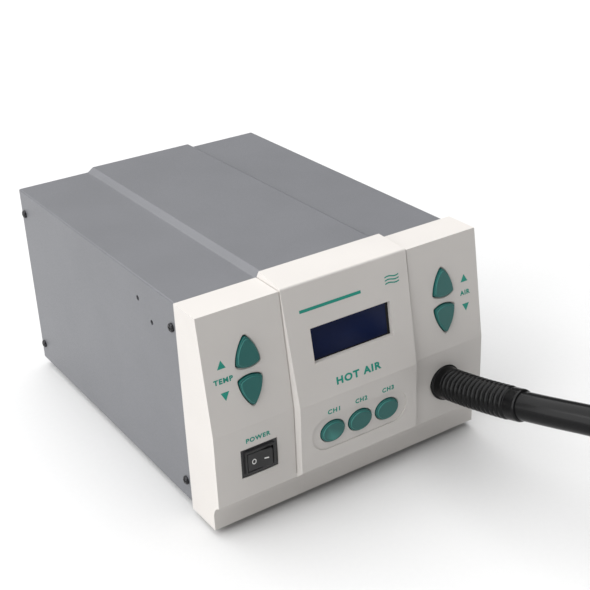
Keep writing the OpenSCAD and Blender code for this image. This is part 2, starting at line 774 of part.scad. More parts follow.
module handle_tail() {
    color([0.06, 0.06, 0.06]) on_handle(0) difference() {
        rotate_extrude() polygon(concat([[0, 0], [9.8, 0]],
            [for (i = [0:4], p = [[9.9, 2], [11.2, 2.6], [11.2, 4.4], [10.2, 5]]) [p[0] + i * 0.4,
                p[1] + i * 5]],
            [[13, tail_len - 3], [13, tail_len], [0, tail_len]]));
        translate([0, 0, -1]) cylinder(r = hose_d / 2 + 0.05, h = tail_len + 2);
    }
}

body_at = tail_len + 0.05;
collar_at = body_at + handle_len + 0.05;
tube_at = collar_at + 12.05;
nozzle_at = tube_at + tube_len - 12;

module handle_body() {
    r = handle_r;
    color([0.12, 0.12, 0.13]) on_handle(body_at) difference() {
        rotate_extrude() polygon(concat(arc(r - 4, 4, 4, -90, 0, 5),
            [[r, 14], [r - 1.6, 30], [r - 1.8, 55], [r - 0.4, 76]],
            [[r, handle_len - 6], [r - 1, handle_len]], [[0, handle_len], [0, 0]]));
        translate([0, 0, 3]) cylinder(r = 12, h = handle_len);
        translate([0, 0, -1]) cylinder(r = 7, h = 6);
    }
}

module handle_collar() {
    color([0.2, 0.2, 0.2]) on_handle(collar_at) difference() {
        cylinder(r = 15, h = 12);
        translate([0, 0, -1]) cylinder(r = 9.6, h = 14);
        for (i = [0:11]) rotate([0, 0, i * 30]) translate([15, 0, 6]) cube([2, 2.4, 8], center = true);
    }
}

module heater_tube() {
    color([0.7, 0.7, 0.7]) on_handle(tube_at) difference() {
        cylinder(r = 11, h = tube_len);
        translate([0, 0, -1]) cylinder(r = 10.2, h = tube_len + 2);
    }
}

module heater_core() {
    color([0.85, 0.82, 0.75]) on_handle(tube_at + 1) difference() {
        cylinder(r = 10, h = tube_len - 6);
        for (a = [0:60:300]) rotate([0, 0, a]) translate([6, 0, -1]) cylinder(r = 1.6, h = tube_len);
        translate([0, 0, -1]) cylinder(r = 2, h = tube_len);
    }
}

module nozzle() {
    color([0.7, 0.7, 0.7]) on_handle(nozzle_at) rotate_extrude()
        polygon([[11.05, 0], [12, 0], [12, 13], [5, 20],
        [5, nozzle_len + 8], [3.6, nozzle_len + 8], [3.6, 19.4], [10, 13], [11.05, 12]]);
}

// ---- Blower ----

// Outline of the blower's case in plan: the round part and the straight outlet
module blower_outline(shrink = 0) {
    circle(r = blower_r - shrink);
    translate([outlet_x - blower_x - 13 + shrink, -blower_r - 4 - (shrink > 0 ? 1 : 0)])
        square([26 - 2 * shrink, blower_r + 4]);
}

module blower_base() {
    color([0.15, 0.15, 0.16]) translate([blower_x, blower_y, blower_z]) difference() {
        linear_extrude(height = blower_h) blower_outline();
        translate([0, 0, 2]) linear_extrude(height = blower_h) blower_outline(2);
        translate([0, 0, -1]) cylinder(r = 3, h = 5);
    }
}

module blower_lid() {
    color([0.18, 0.18, 0.19]) translate([blower_x, blower_y, blower_z + blower_h + 0.05]) difference() {
        linear_extrude(height = 2.4) blower_outline();
        translate([0, 0, -1]) cylinder(r = 17, h = 5);
    }
}

wheel_r = 31;
shaft_r = 1.5;

module blower_wheel() {
    color([0.85, 0.85, 0.85]) translate([blower_x, blower_y, blower_z + 4]) difference() {
        union() {
            cylinder(r = wheel_r, h = 1.6);
            cylinder(r = 5, h = 14);
            for (i = [0:13]) rotate([0, 0, i * 360 / 14]) translate([19, 0, 0.8]) rotate([0, 0, 35])
                translate([-7, -0.6, 0]) cube([16, 1.2, 15]);
        }
        translate([0, 0, -1]) cylinder(r = shaft_r + 0.05, h = 20);
    }
}

module blower_motor() {
    color([0.6, 0.6, 0.62]) translate([blower_x, blower_y, 0]) {
        translate([0, 0, blower_z - 20]) cylinder(r = 14, h = 19.95);
        translate([0, 0, blower_z - 1]) cylinder(r = shaft_r, h = 18);
    }
}

module blower_mounts() {
    color([0.1, 0.1, 0.1]) for (a = [45:90:315]) translate([blower_x, blower_y, deck_z]) rotate([0, 0, a])
        translate([34, 0, 0]) cylinder(r = 4, h = blower_z - deck_z - 0.02);
}

module air_duct() {
    start = front_y + 11;
    end = blower_y - blower_r - 4.1;
    color([0.2, 0.2, 0.2]) translate([outlet_x, 0, case_z + outlet_h]) difference() {
        union() {
            translate([0, start, 0]) rod_y(10.6, end - start);
            translate([-13, end - 6, -13]) cube([26, 6, 26]);
        }
        translate([0, start - 1, 0]) rod_y(gland_r + 0.05, end - start + 3);
    }
}

// ---- Power supply ----

TRAFO = [38, 76];
core_w = 60;
core_t = 36;
core_tall = 50;
limb = 10;
bracket_t = 1.2;
trafo_z = deck_z + bracket_t + 0.05;

module transformer_core() {
    color([0.45, 0.46, 0.48]) translate([TRAFO[0], TRAFO[1], trafo_z + core_tall / 2]) difference() {
        cube([core_w, core_t, core_tall], center = true);
        for (s = [-1, 1]) translate([s * 1.5 * limb, 0, 0])
            cube([limb, core_t + 2, core_tall - 2 * limb], center = true);
    }
}

module transformer_coil() {
    color([0.75, 0.6, 0.2]) translate([TRAFO[0], TRAFO[1], trafo_z + core_tall / 2]) difference() {
        cube([4 * limb - 0.4, core_t + 20, core_tall - 2 * limb - 0.4], center = true);
        cube([2 * limb + 0.2, core_t + 0.2, core_tall], center = true);
    }
}

module transformer_bracket() {
    w = core_w + 0.2;
    color([0.75, 0.75, 0.77]) translate([TRAFO[0], TRAFO[1], deck_z]) difference() {
        translate([-w / 2 - 12, -core_t / 2 + 4, 0]) cube([w + 24, core_t - 8, bracket_t]);
        for (s = [-1, 1]) translate([s * (w / 2 + 6), 0, -1]) cylinder(r = 2, h = 4);
    }
}

BOARD = [-46, 4];
board_w = 74;
board_l = 100;
board_hole_in = 4;
board_z = deck_z + 10;

module power_board() {
    color([0.1, 0.35, 0.2]) difference() {
        translate([BOARD[0] - board_w / 2, BOARD[1] - board_l / 2, board_z])
            cube([board_w, board_l, board_t]);
        for (x = [-1, 1], y = [-1, 1])
            translate([BOARD[0] + x * (board_w / 2 - board_hole_in),
                BOARD[1] + y * (board_l / 2 - board_hole_in), board_z - 1])
                cylinder(r = 1.6, h = 4);
    }
}

module board_spacers() {
    color([0.8, 0.75, 0.5]) for (x = [-1, 1], y = [-1, 1])
        translate([BOARD[0] + x * (board_w / 2 - board_hole_in),
            BOARD[1] + y * (board_l / 2 - board_hole_in), deck_z])
            tube_z(3, 1.3, 9.98);
}

SINK = [-70, 20];

module heat_sink() {
    color([0.7, 0.7, 0.72]) translate([SINK[0], SINK[1], board_z + board_t + 0.02]) {
        translate([0, -24, 0]) cube([3, 48, 34]);
        for (i = [0:6]) translate([-9, -24 + i * 7.6, 0]) cube([9.1, 2, 34]);
    }
}

module triac() {
    color([0.1, 0.1, 0.1]) translate([SINK[0] + 3.05, SINK[1] - 5, board_z + board_t + 6]) {
        cube([4.4, 10, 9]);
        cube([1.3, 10, 15]);
        for (i = [-1:1]) translate([2, 5 + i * 2.5 - 0.4, -5.98]) cube([0.8, 0.8, 6.5]);
    }
}

module capacitors() {
    color([0.12, 0.2, 0.4]) for (c = [[0, 0, 8, 25], [0, 18, 5, 16], [14, 14, 5, 16], [20, -6, 4, 12]])
        translate([BOARD[0] + c[0], BOARD[1] + c[1], board_z + board_t + 0.02])
            cylinder(r = c[2], h = c[3]);
}

module terminal_block() {
    color([0.1, 0.45, 0.25]) translate([BOARD[0] - 20, BOARD[1] + board_l / 2 - 20,
        board_z + board_t + 0.02]) difference() {
        cube([40, 11, 13]);
        for (i = [0:4]) translate([4.5 + i * 7.75, 5.5, 6]) cylinder(r = 2.2, h = 10);
    }
}

// ---- Mains inlet ----

inlet_depth = 27;
mouth_w = 24.4;
mouth_h = 15.8;
mouth_up = 6.4;
mouth_deep = 16;
drawer_w = 20;
drawer_h = 7;
drawer_down = -9.4;

// Local frame of the inlet: X across the back, Y up, Z out through the rear panel
module on_inlet(out = 0) {
    translate([inlet_x, rear_y, case_z + inlet_h]) rotate([-90, 0, 0]) mirror([0, 1, 0])
        translate([0, 0, out])
        children();
}

INLET_PINS = [[-7, -2], [0, 2], [7, -2]];
pin_w = 2;
pin_h = 4;

module inlet_socket() {
    w = inlet_w - 0.4;
    tall = inlet_tall - 0.4;
    color([0.06, 0.06, 0.06]) on_inlet() difference() {
        union() {
            translate([-w / 2, -tall / 2, -inlet_depth]) cube([w, tall, inlet_depth + 1]);
            translate([0, 0, 0.02]) linear_extrude(height = rear_reach - 0.02)
                polygon(rounded([[-25, -4], [-17, -17], [17, -17], [25, -4], [25, 4], [17, 17],
                    [-17, 17], [-25, 4]], 2));
        }
        translate([0, mouth_up, rear_reach - mouth_deep]) linear_extrude(height = mouth_deep + 1)
            polygon(rounded([[-mouth_w / 2, -mouth_h / 2], [mouth_w / 2, -mouth_h / 2], [mouth_w / 2, 2],
                [mouth_w / 4 + 2, mouth_h / 2], [-mouth_w / 4 - 2, mouth_h / 2], [-mouth_w / 2, 2]], 1));
        translate([-drawer_w / 2 - 0.3, drawer_down - drawer_h / 2 - 0.3, rear_reach - 24])
            cube([drawer_w + 0.6, drawer_h + 0.6, 25]);
        for (x = [-inlet_screw_x, inlet_screw_x]) translate([x, 0, -1]) cylinder(r = 1.7, h = 6);
        for (p = INLET_PINS) translate([p[0] - pin_w / 2, mouth_up + p[1] - pin_h / 2, -inlet_depth - 1])
            cube([pin_w, pin_h, 20]);
    }
}

module inlet_pins() {
    color([0.8, 0.75, 0.5]) on_inlet() for (p = INLET_PINS)
        translate([p[0] - pin_w / 2, mouth_up + p[1] - pin_h / 2, -inlet_depth - 8])
            cube([pin_w, pin_h, inlet_depth + 4]);
}

module inlet_screws() {
    color([0.1, 0.1, 0.1]) on_inlet() for (x = [-inlet_screw_x, inlet_screw_x])
        translate([x, 0, rear_reach - 1.4])
        inlet_screw();
}

// A countersunk screw with a cross recess, its flat head level with the flange
module inlet_screw() {
    difference() {
        rotate_extrude() polygon([[0, -8], [1.45, -8], [1.45, 0], [1.6, 0], [1.6, 1.4], [0, 1.4]]);
        for (a = [0, 90]) rotate([0, 0, a]) translate([0, 0, 1.4]) cube([2.2, 0.5, 1.4], center = true);
    }
}

module fuse_drawer() {
    color([0.08, 0.08, 0.08]) on_inlet() translate([0, drawer_down, 0]) difference() {
        union() {
            translate([-drawer_w / 2, -drawer_h / 2, rear_reach - 23]) cube([drawer_w, drawer_h, 22.6]);
            translate([-5, -1, rear_reach - 1]) cube([10, 2, 1]);
        }
        translate([-drawer_w / 2 + 2, drawer_h / 2 - 5.8, rear_reach - 12])
            cube([drawer_w - 3.9, 6.2, 6.4]);
    }
}

module mains_fuse() {
    color([0.85, 0.85, 0.85]) on_inlet() translate([-drawer_w / 2 + 2.1, drawer_down, rear_reach - 8.8])
        rotate([0, 90, 0]) cylinder(r = 2.3, h = drawer_w - 4.1);
}

module earth_stud() {
    color([0.8, 0.75, 0.5]) translate([EARTH[0], rear_y, case_z + EARTH[1]]) rotate([90, 0, 0]) {
        translate([0, 0, -rear_reach + 0.4]) cylinder(r = 2, h = 12);
        translate([0, 0, sheet_t + 0.05]) cylinder(r = 4, h = 3, $fn = 6);
        translate([0, 0, -2]) cylinder(r = 4, h = 1.95, $fn = 6);
    }
}

// ---- The whole station ----

front_bezel();
top_cover();
base_chassis();
rear_panel();
cover_screws();
rear_panel_screws();
bezel_screws();
rubber_feet();
foot_screws();
holder_nuts();
display_window();
lcd_module();
control_board();
control_board_screws();
channel_board();
channel_board_screws();
temp_up_button();
temp_down_button();
air_up_button();
air_down_button();
channel_1_button();
channel_2_button();
channel_3_button();
setting_switches();
channel_switches();
switch_housing();
switch_rocker();
switch_terminals();
hose_gland();
gland_nut();
hose_boot();
air_hose();
hose_coil();
handle_tail();
handle_body();
handle_collar();
heater_tube();
heater_core();
nozzle();
blower_base();
blower_lid();
blower_wheel();
blower_motor();
blower_mounts();
air_duct();
transformer_core();
transformer_coil();
transformer_bracket();
power_board();
board_spacers();
heat_sink();
triac();
capacitors();
terminal_block();
inlet_socket();
inlet_pins();
inlet_screws();
fuse_drawer();
mains_fuse();
earth_stud();
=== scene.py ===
import json
import math

import bpy
from mathutils import Matrix, Vector


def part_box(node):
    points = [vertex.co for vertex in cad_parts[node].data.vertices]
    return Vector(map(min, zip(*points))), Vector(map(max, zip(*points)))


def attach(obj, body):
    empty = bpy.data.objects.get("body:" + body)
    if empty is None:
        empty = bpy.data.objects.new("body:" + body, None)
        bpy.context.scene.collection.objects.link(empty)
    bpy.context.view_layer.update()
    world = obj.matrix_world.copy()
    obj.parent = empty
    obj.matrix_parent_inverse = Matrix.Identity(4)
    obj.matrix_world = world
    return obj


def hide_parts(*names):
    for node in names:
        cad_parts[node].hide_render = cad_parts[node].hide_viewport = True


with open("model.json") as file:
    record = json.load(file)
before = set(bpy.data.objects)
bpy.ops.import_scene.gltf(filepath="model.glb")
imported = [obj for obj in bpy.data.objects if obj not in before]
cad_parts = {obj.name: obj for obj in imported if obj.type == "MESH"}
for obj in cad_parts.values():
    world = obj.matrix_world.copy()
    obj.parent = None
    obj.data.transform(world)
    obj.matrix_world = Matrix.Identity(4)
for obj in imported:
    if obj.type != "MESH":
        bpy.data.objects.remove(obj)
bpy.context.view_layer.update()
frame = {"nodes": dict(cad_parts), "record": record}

MM = 0.001
NODES = frame["nodes"]

# ---------------------------------------------------------------- places

BEZEL_LOW, BEZEL_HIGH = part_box("front_bezel")
BEZEL_H = 131  # mm above the case's underside
CREASE_H = 63  # where the front's upright lower face meets its leaning one
CREASE_DEPTH = 31.8  # the bezel's depth at the crease, and at its top
TOP_DEPTH = 22.5
CASE_Z = BEZEL_LOW.z
CREASE_Z = CASE_Z + CREASE_H * MM
FRONT_Y = BEZEL_HIGH.y - CREASE_DEPTH * MM
LEAN = math.atan((CREASE_DEPTH - TOP_DEPTH) / (BEZEL_H - CREASE_H))
FACE_TURN = math.pi / 2 - LEAN
LOWER_TURN = math.pi / 2


def on_face(x, y, out):
    """A point of the leaning face in mm: x across, y up the face from the crease, out along its normal."""
    return Vector((x * MM, FRONT_Y + (y * math.sin(LEAN) - out * math.cos(LEAN)) * MM,
                   CREASE_Z + (y * math.cos(LEAN) + out * math.sin(LEAN)) * MM))


def on_lower(x, y, out):
    """A point of the upright lower face in mm: x across, y above the case's underside, out along its normal."""
    return Vector((x * MM, FRONT_Y - out * MM, CASE_Z + y * MM))


def up_face(height):
    """Distance up the leaning face of a point at a given height above the case's underside."""
    return (height - CREASE_H) / math.cos(LEAN)


# ---------------------------------------------------------------- camera

scene = bpy.context.scene
CAMERA_AT = Vector((-0.3314, -0.5824, 0.4019))
CAMERA_AZIMUTH = math.radians(-32.64)
CAMERA_ELEVATION = math.radians(26.16)
CAMERA_ROLL = math.radians(-2.615)
CAMERA_LENS = 70.42  # mm, on a sensor 36 mm wide


def make_camera():
    """The camera that took the photograph, found from the edges of the case."""
    az, el, roll = CAMERA_AZIMUTH, CAMERA_ELEVATION, CAMERA_ROLL
    back = Vector((math.sin(az) * math.cos(el), -math.cos(az) * math.cos(el), math.sin(el)))
    right = Vector((math.cos(az), math.sin(az), 0))
    up = back.cross(right)
    across = math.cos(roll) * right + math.sin(roll) * up
    upward = math.cos(roll) * up - math.sin(roll) * right
    data = bpy.data.cameras.new("camera")
    data.sensor_width = 36
    data.lens = CAMERA_LENS
    camera = bpy.data.objects.new("camera", data)
    turn = Matrix((across, upward, back)).transposed().to_4x4()
    camera.matrix_world = Matrix.Translation(CAMERA_AT) @ turn
    scene.collection.objects.link(camera)
    scene.camera = camera


make_camera()

# ---------------------------------------------------------------- materials

WORN_EDGE = (0.53, 0.62)  # the pointiness from which an edge starts to wear, and where it is fully worn
ROUGH_SPREAD = 0.15
COAT_ROUGH = 0.08


def noise(tree, scale, detail, stretch=(1, 1, 1)):
    """Noise over the object's own coordinates, in metres; scale is in features per metre."""
    coord = tree.nodes.new("ShaderNodeTexCoord")
    mapping = tree.nodes.new("ShaderNodeMapping")
    mapping.inputs["Scale"].default_value = stretch
    texture = tree.nodes.new("ShaderNodeTexNoise")
    texture.inputs["Scale"].default_value = scale
    texture.inputs["Detail"].default_value = detail
    tree.links.new(coord.outputs["Object"], mapping.inputs["Vector"])
    tree.links.new(mapping.outputs["Vector"], texture.inputs["Vector"])
    return texture.outputs["Fac"]


def ranged(tree, value, low, high, start=0.35, end=0.65):
    """The value, spread from start and end to low and high."""
    node = tree.nodes.new("ShaderNodeMapRange")
    node.inputs["From Min"].default_value = start
    node.inputs["From Max"].default_value = end
    node.inputs["To Min"].default_value = low
    node.inputs["To Max"].default_value = high
    tree.links.new(value, node.inputs["Value"])
    return node.outputs["Result"]


def mixed(tree, fac, a, b):
    """Colour a to colour b by fac; each is a colour or another node's output."""
    node = tree.nodes.new("ShaderNodeMix")
    node.data_type = "RGBA"
    tree.links.new(fac, node.inputs["Factor"])
    for socket, value in ((node.inputs[6], a), (node.inputs[7], b)):  # the node's colour inputs
        if isinstance(value, bpy.types.NodeSocket):
            tree.links.new(value, socket)
        else:
            socket.default_value = (*value, 1)
    return node.outputs[2]


def shade(color, k):
    """The colour, k times as bright."""
    return tuple(min(1, c * k) for c in color)


def srgb(r, g, b):
    """Linear colour from display values of 0 to 255."""
    return tuple(((c / 255 + 0.055) / 1.055) ** 2.4 if c > 10 else c / 255 / 12.92 for c in (r, g, b))


def surface(name, color, rough, metal=0.0, mottle=0.06, patch=25, grain=4000, bump=0.15, depth=0.00003,
            wear=None, coat=0.0, stretch=(1, 1, 1), specular=0.5):
    """A finished material: its colour drifts in patches and fine grain breaks its gloss and its surface.

    mottle and bump are shares of full strength, patch and grain are features per metre, depth is in metres, and
    wear is the colour that the edges take where they are rubbed.
    """
    material = bpy.data.materials.new(name)
    material.use_nodes = True
    tree = material.node_tree
    bsdf = tree.nodes["Principled BSDF"]
    drift = noise(tree, patch, 4)
    fine = noise(tree, grain, 2, stretch)
    base = mixed(tree, ranged(tree, drift, 0, 1), shade(color, 1 - mottle), shade(color, 1 + mottle))
    if wear:
        geometry = tree.nodes.new("ShaderNodeNewGeometry")
        edge = ranged(tree, geometry.outputs["Pointiness"], 0, 0.5, *WORN_EDGE)
        base = mixed(tree, edge, base, wear)
    tree.links.new(base, bsdf.inputs["Base Color"])
    gloss = ranged(tree, fine, rough * (1 - ROUGH_SPREAD), min(1, rough * (1 + ROUGH_SPREAD)))
    tree.links.new(gloss, bsdf.inputs["Roughness"])
    bsdf.inputs["Metallic"].default_value = metal
    bsdf.inputs["Specular IOR Level"].default_value = specular
    bsdf.inputs["Coat Weight"].default_value = coat
    bsdf.inputs["Coat Roughness"].default_value = COAT_ROUGH
    relief = tree.nodes.new("ShaderNodeBump")
    relief.inputs["Strength"].default_value = bump
    relief.inputs["Distance"].default_value = depth
    tree.links.new(fine, relief.inputs["Height"])
    tree.links.new(relief.outputs["Normal"], bsdf.inputs["Normal"])
    return material


LOOKS = {
    "case_paint": dict(color=srgb(104, 105, 109), rough=0.4, mottle=0.03, grain=2600, bump=0.35, depth=0.00005),
    "bezel_plastic": dict(color=srgb(202, 198, 194), rough=0.5, mottle=0.015, grain=2400, bump=0.3, depth=0.00004),
    "key_plastic": dict(color=srgb(18, 92, 88), rough=0.36, mottle=0.04, grain=3000, bump=0.2,
                        wear=srgb(60, 150, 140)),
    "black_plastic": dict(color=srgb(24, 24, 25), rough=0.42, mottle=0.1, grain=2500, bump=0.3,
                          wear=srgb(60, 60, 62)),
    "black_rubber": dict(color=srgb(6, 6, 7), rough=0.24, mottle=0.15, patch=60, grain=1800, bump=0.1,
                         specular=0.2),
    "window_glass": dict(color=srgb(8, 10, 16), rough=0.14, mottle=0.1, grain=600, bump=0.01, specular=0.3),
    "steel_sheet": dict(color=srgb(190, 192, 196), rough=0.34, metal=1.0, mottle=0.08, patch=90, grain=900,
                        bump=0.1, stretch=(1, 12, 1)),
    "screw_steel": dict(color=srgb(205, 206, 210), rough=0.22, metal=1.0, mottle=0.05, grain=2000, bump=0.1),
    "black_screw": dict(color=srgb(32, 32, 34), rough=0.25, metal=0.7, mottle=0.2, patch=400, grain=2500,
                        bump=0.2, wear=srgb(120, 120, 124)),
    "nozzle_steel": dict(color=srgb(176, 170, 160), rough=0.3, metal=1.0, mottle=0.15, patch=70, grain=1200,
                         bump=0.15, stretch=(1, 1, 8)),
    "ceramic_core": dict(color=srgb(214, 206, 190), rough=0.6, mottle=0.05, grain=2000, bump=0.3),
    "board_green": dict(color=srgb(22, 84, 48), rough=0.3, mottle=0.12, patch=300, grain=1500, bump=0.1),
    "core_steel": dict(color=srgb(96, 98, 102), rough=0.5, metal=0.6, mottle=0.1, grain=1800, bump=0.4,
                       stretch=(1, 12, 1)),
    "coil_tape": dict(color=srgb(190, 150, 45), rough=0.3, mottle=0.08, grain=800, bump=0.15, coat=0.2),
    "fan_white": dict(color=srgb(214, 214, 212), rough=0.45, mottle=0.03, grain=2200, bump=0.2),
    "sink_aluminium": dict(color=srgb(180, 182, 186), rough=0.35, metal=1.0, mottle=0.05, grain=1000,
                           bump=0.12, stretch=(1, 1, 10)),
    "cap_sleeve": dict(color=srgb(24, 40, 84), rough=0.3, mottle=0.06, grain=1500, bump=0.1),
    "brass_part": dict(color=srgb(196, 172, 96), rough=0.28, metal=1.0, mottle=0.08, grain=1500, bump=0.1),
    "print_teal": dict(color=srgb(0, 138, 120), rough=0.5, mottle=0.04, grain=3000, bump=0.1),
    "print_white": dict(color=srgb(226, 226, 224), rough=0.5, mottle=0.03, grain=3000, bump=0.1),
    "panel_blue": dict(color=srgb(12, 24, 58), rough=0.2, mottle=0.12, patch=30, grain=900, bump=0.02,
                       specular=0.15),
    "floor_paper": dict(color=srgb(214, 214, 214), rough=0.8, mottle=0.01, patch=3, grain=300, bump=0.05),
}
MATERIALS = {name: surface(name, **look) for name, look in LOOKS.items()}

# ---------------------------------------------------------------- pieces


def place(mesh, name, material, body="root"):
    """A piece of its own, with its material and the body it rides on."""
    piece = bpy.data.objects.new(name, mesh)
    scene.collection.objects.link(piece)
    mesh.materials.append(MATERIALS[material])
    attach(piece, body)
    return piece


def mesh_piece(name, points, faces, material, body="root", smooth=True):
    """A piece from points and faces, which is smooth or flat all over."""
    mesh = bpy.data.meshes.new(name)
    mesh.from_pydata([tuple(p) for p in points], [], faces)
    mesh.validate()
    mesh.polygons.foreach_set("use_smooth", [smooth] * len(mesh.polygons))
    mesh.update()
    return place(mesh, name, material, body)


def swept(name, path, radii, material, sides):
    """A tube along a path of points, with its own radius at each, closed at both ends."""
    points, faces = [], []
    last = len(path) - 1
    for i, (at, radius) in enumerate(zip(path, radii)):
        ahead = (path[min(i + 1, last)] - path[max(i - 1, 0)]).normalized()
        side = ahead.cross(Vector((0, 0, 1))).normalized()
        up = side.cross(ahead)
        for k in range(sides):
            turn = 2 * math.pi * k / sides
            points.append(at + radius * (math.cos(turn) * side + math.sin(turn) * up))
    for i in range(last):
        for k in range(sides):
            m = (k + 1) % sides
            faces.append((i * sides + k, i * sides + m, (i + 1) * sides + m, (i + 1) * sides + k))
    faces.append(tuple(reversed(range(sides))))
    faces.append(tuple(last * sides + k for k in range(sides)))
    return mesh_piece(name, points, faces, material)


# ---------------------------------------------------------------- hose

HOSE_D = 16.8 * MM
HOSE_STEPS = 6
# in mm: from the boot down to the bench, and from the turn to the handle
HOSE_ROUTE = [(70.4, -186, 56), (75, -206, 59.4), (81.5, -226, 62), (89.5, -245.5, 62.8), (97.5, -265, 61.5),
              (104.5, -285, 58), (110, -305.5, 52), (114.2, -326, 44.5), (117, -346, 36.6), (118.4, -366, 29),
              (118.8, -385, 22), (119.7, -404.6, 15.5), (112.9, -430, 10), (97.7, -451.7, 8.4)]
HOSE_END = [(134, -374, 8.4), (137.2, -398, 8.4), (137.2, -422, 8.4), (136.9, -447, 8.4), (131.9, -473.8, 8.8),
            (116.7, -496.5, 10.8), (94, -511.7, 13.8), (67, -517, 15.8), (46, -517, 16)]
COIL_AT = Vector((44, -398, 8.4))
COIL_R = 76
COIL_PITCH = 17.2  # a hose's diameter and a little room
COIL_FROM = -58  # degrees about the middle of the turn, which runs clockwise
COIL_TO = -334
COIL_STEP = 12
SHIFT_FROM = -235  # where the turn starts to slip outwards, and where it has done so
SHIFT_TO = -325


def coil_points():
    """The turn on the bench: it slips outwards by a diameter just before it meets its own start."""
    points = []
    angle = COIL_FROM
    while angle >= COIL_TO:
        t = min(1, max(0, (angle - SHIFT_FROM) / (SHIFT_TO - SHIFT_FROM)))
        radius = COIL_R + COIL_PITCH * t * t * (3 - 2 * t)
        turn = math.radians(angle)
        points.append(COIL_AT + radius * Vector((math.cos(turn), math.sin(turn), 0)))
        angle -= COIL_STEP
    return points


def smooth_path(points, step):
    """A Catmull-Rom curve through the points, with step points in each stretch."""
    ends = [2 * points[0] - points[1]] + points + [2 * points[-1] - points[-2]]
    out = []
    for a, b, c, d in zip(ends, ends[1:], ends[2:], ends[3:]):
        for i in range(step):
            t = i / step
            out.append(0.5 * (2 * b + (c - a) * t + (2 * a - 5 * b + 4 * c - d) * t * t
                              + (3 * b - a - 3 * c + d) * t ** 3))
    return out + [points[-1]]


def make_hose():
    """The hose as one round tube, and the points along its middle."""
    route = [Vector(p) for p in HOSE_ROUTE] + coil_points() + [Vector(p) for p in HOSE_END]
    path = [p * MM for p in smooth_path(route, HOSE_STEPS)]
    data = bpy.data.curves.new("hose", "CURVE")
    data.dimensions = "3D"
    data.bevel_depth = HOSE_D / 2
    data.bevel_resolution = 14
    data.use_fill_caps = True
    spline = data.splines.new("POLY")
    spline.points.add(len(path) - 1)
    for point, at in zip(spline.points, path):
        point.co = (*at, 1)
    spline.use_smooth = True
    hose = place(data, "hose", "black_rubber")
    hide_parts("air_hose", "hose_coil")
    return hose, path


hose, hose_path = make_hose()

OUTLET = on_lower(65.3, 41.2, 0)
BOOT_LEN = 62.0
FLANGE_R = 11.2  # the flange against the face, whose edge is rounded over its last millimetre
FLANGE_ROUND = 1.2
FLANGE_CURVE = 0.9
FLANGE_END = 2.2
NECK_R = 10.3  # the smooth neck, which narrows to the first rib
NECK_TAPER = 0.9
RIBS = 14
RIBS_FROM = 7.0
RIB_PITCH = 3.35
RIBS_END = RIBS_FROM + RIBS * RIB_PITCH
GROOVE_R = 9.0
RIB_TALL = 0.95
RIB_SHAPE = 0.7  # below 1, so a rib is fuller than a sine
CUFF_R = 9.55  # the smooth cuff on the hose, with its lip rounded off
CUFF_LIP = 0.9
CUFF_SLOPE = 0.35
BOOT_LEAVES = math.radians(9)  # upwards from square to the face
BOOT_KNEE = 0.031  # metres out to where it bends towards the hose
BOOT_STEPS = 300
BOOT_OVER_HOSE = 0.0006  # how far the boot reaches past the hose's first point


def boot_radius(s):
    """Radius of the boot in mm at a distance s along it."""
    if s < FLANGE_END:
        return FLANGE_R - FLANGE_CURVE * max(0, s - FLANGE_ROUND) ** 2
    if s < RIBS_FROM:
        return NECK_R - NECK_TAPER * ((s - FLANGE_END) / (RIBS_FROM - FLANGE_END))
    if s < RIBS_END:
        phase = (s - RIBS_FROM) / RIB_PITCH % 1
        return GROOVE_R + RIB_TALL * math.sin(math.pi * phase) ** RIB_SHAPE
    if s < RIBS_END + 1:
        return GROOVE_R
    return CUFF_R - CUFF_SLOPE * max(0, s - BOOT_LEN + CUFF_LIP)


def make_boot(end):
    """The ribbed strain relief: it leaves the face a little upwards and leans towards the hose."""
    leave = Vector((0, -math.cos(BOOT_LEAVES), math.sin(BOOT_LEAVES)))
    knee = OUTLET + leave * BOOT_KNEE
    path = []
    for i in range(BOOT_STEPS + 1):
        t = i / BOOT_STEPS
        path.append(OUTLET * (1 - t) ** 2 + knee * (2 * t * (1 - t)) + end * t * t)
    radii = [boot_radius(BOOT_LEN * i / BOOT_STEPS) * MM for i in range(BOOT_STEPS + 1)]
    path[0] = path[0] + Vector((0, -0.0001, 0))  # clear of the face, so the two don't share a plane
    return swept("boot", path, radii, "black_rubber", sides=64)


boot = make_boot(hose_path[0] + (hose_path[1] - hose_path[0]).normalized() * BOOT_OVER_HOSE)
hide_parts("hose_boot")

# ---------------------------------------------------------------- printing on the front

PRINT_T = 0.06  # mm: a mark's thickness, and half a word's
PRINT_OUT = 0.03  # how far off the face the middle of a word's ink is, so its back is sunk in
CAP_SHARE = 0.7  # a capital's height, as a share of the font's size


